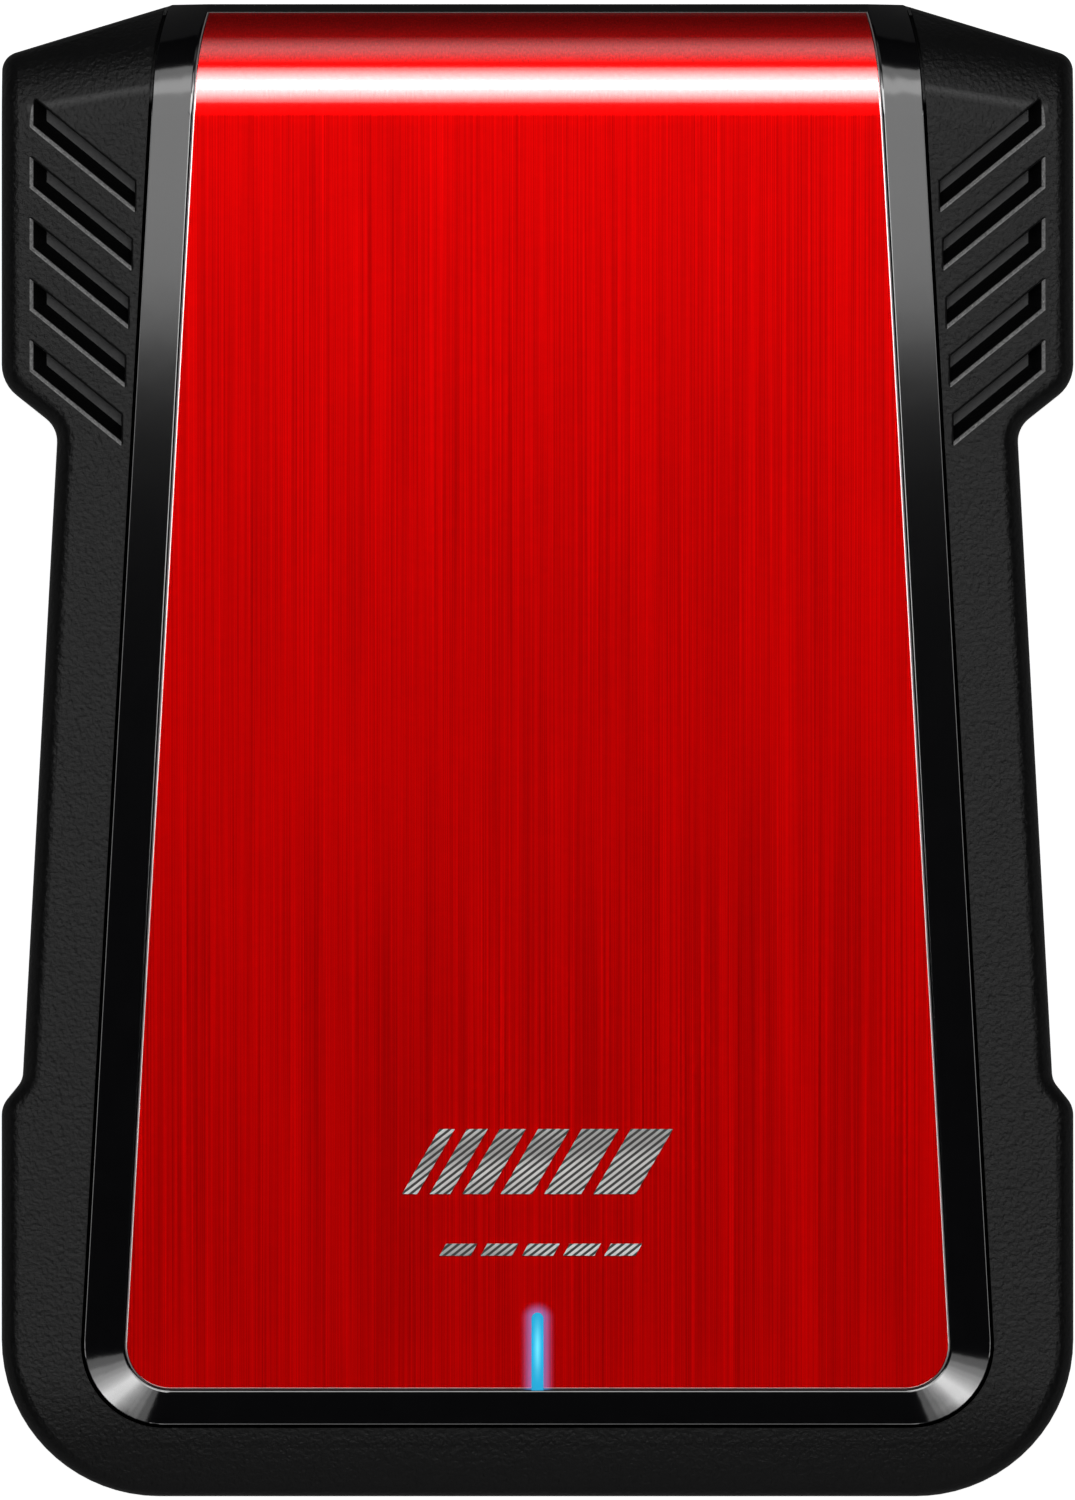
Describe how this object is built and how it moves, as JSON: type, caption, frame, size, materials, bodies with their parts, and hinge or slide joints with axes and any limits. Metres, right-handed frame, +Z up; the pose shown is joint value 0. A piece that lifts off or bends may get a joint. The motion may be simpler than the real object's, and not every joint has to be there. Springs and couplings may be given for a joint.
{
  "type": "solid state drive",
  "caption": "Portable solid state drive: a waisted black sliding enclosure with a bent red face plate, over a bridge board and a 2.5 inch drive that unplugs.",
  "frame": {"origin": "centre of the footprint, on the surface that the rubber feet stand on", "axes": "+Z up through the thickness, towards the face plate; +Y along the length, towards the curved end; -Y towards the USB port; +X across the width"},
  "size_m": [0.0974, 0.1358, 0.0168],
  "materials": {
    "grained_black": "fine leather-like grain, low sheen",
    "black_plastic": "satin moulding",
    "piano_black": "high gloss",
    "red_anodised": "hairline brushed along the length, red anodised, bright cut edge",
    "adhesive_film": "translucent bonding film",
    "lens": "lit indicator lens",
    "silver_print": "fine diagonal hatch",
    "foam": "closed-cell foam",
    "rubber": "matt",
    "zinc_steel": "zinc plated",
    "circuit_board": "solder mask over glass laminate",
    "chip_resin": "moulded resin",
    "can_steel": "nickel plated sheet",
    "ferrite": "sintered",
    "chip_ceramic": "fired, with tinned ends",
    "lamp": "clear resin",
    "connector_plastic": "glass-filled moulding",
    "gold": "gold flash",
    "drive_metal": "fine blasted, dark grey",
    "thermal_gel": "soft silicone",
    "label": "plain coated sticker"
  },
  "bodies": {
    "base": {"lower_case": "grained_black", "rubber_feet": "rubber", "base_foam": "foam", "lock_cap": "black_plastic", "lock_screws": "zinc_steel", "bridge_board": "circuit_board", "board_screws": "zinc_steel", "bridge_chip": "chip_resin", "flash_config_chip": "chip_resin", "crystal": "can_steel", "inductors": "ferrite", "capacitors": "chip_ceramic", "status_led": "lamp", "usb_receptacle": "can_steel", "usb_tongues": "connector_plastic", "usb_contacts": "gold", "sata_receptacle": "connector_plastic", "sata_receptacle_contacts": "gold"},
    "cover": {"upper_shell": "grained_black", "gloss_bezel": "piano_black", "plate_adhesive": "adhesive_film", "face_plate": "red_anodised", "light_pipe": "lens", "emblem": "silver_print", "cover_foam": "foam"},
    "drive": {"drive_lower_housing": "drive_metal", "drive_upper_housing": "drive_metal", "drive_screws": "zinc_steel", "drive_board": "circuit_board", "drive_controller": "chip_resin", "dram_chip": "chip_resin", "flash_chips": "chip_resin", "thermal_pad": "thermal_gel", "sata_plug": "connector_plastic", "sata_plug_contacts": "gold", "drive_label": "label"},
    "lock": {"lock_slider": "black_plastic"}
  },
  "joints": [
    {"name": "cover_slide", "type": "slide", "parent": "base", "child": "cover", "axis": [0, 1, 0], "range_m": [0, 0.112]},
    {"name": "drive_unplug", "type": "slide", "parent": "base", "child": "drive", "axis": [0, 1, 0], "range_m": [0, 0.0052]},
    {"name": "lock_slide", "type": "slide", "parent": "base", "child": "lock", "axis": [1, 0, 0], "range_m": [0, 0.003]}
  ]
}
